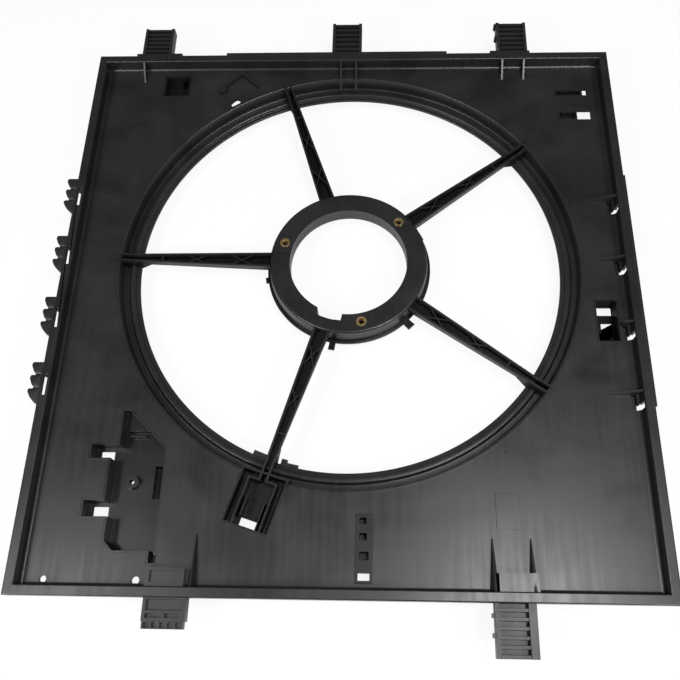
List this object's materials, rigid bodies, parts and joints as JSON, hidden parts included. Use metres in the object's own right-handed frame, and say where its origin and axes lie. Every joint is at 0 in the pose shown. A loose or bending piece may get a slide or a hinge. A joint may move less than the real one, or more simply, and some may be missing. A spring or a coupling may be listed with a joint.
{
  "type": "radiator fan shroud",
  "caption": "Black plastic radiator fan shroud: a flat rectangular tray with a stepped round opening, ribbed struts to a motor ring with brass inserts, clips and moulded pockets.",
  "frame": {"origin": "on the fan's axis, in the plane of the motor ring's front face, which is also the panel's front face", "axes": "+Z along the fan's axis, out of the open tray towards the radiator; +Y up across the tray towards the three top clips; +X to the right seen from the radiator"},
  "size_m": [0.675, 0.7814, 0.0485],
  "materials": {
    "black_plastic": "satin injection-moulded near-black nylon",
    "brass": "turned brass, dull"
  },
  "bodies": {
    "root": {"back_panel": "black_plastic", "rim_top": "black_plastic", "rim_bottom": "black_plastic", "rim_left": "black_plastic", "rim_right": "black_plastic", "venturi_ring": "black_plastic", "motor_ring": "black_plastic", "threaded_inserts": "brass", "strut_upper_right": "black_plastic", "strut_upper_left": "black_plastic", "strut_left": "black_plastic", "strut_lower_left": "black_plastic", "strut_lower_right": "black_plastic", "top_clip_left": "black_plastic", "top_clip_middle": "black_plastic", "top_clip_right": "black_plastic", "bottom_clip_left": "black_plastic", "bottom_clip_right": "black_plastic", "wire_hook_1": "black_plastic", "wire_hook_2": "black_plastic", "wire_hook_3": "black_plastic", "wire_hook_4": "black_plastic", "side_catch_1": "black_plastic", "side_catch_2": "black_plastic", "side_catch_3": "black_plastic", "side_catch_4": "black_plastic", "corner_recess": "black_plastic", "latch_well": "black_plastic", "tongue_slot_upper": "black_plastic", "tongue_slot_lower": "black_plastic", "module_bay": "black_plastic", "tie_strip": "black_plastic", "wire_rib": "black_plastic", "connector_holder": "black_plastic"}
  },
  "joints": []
}
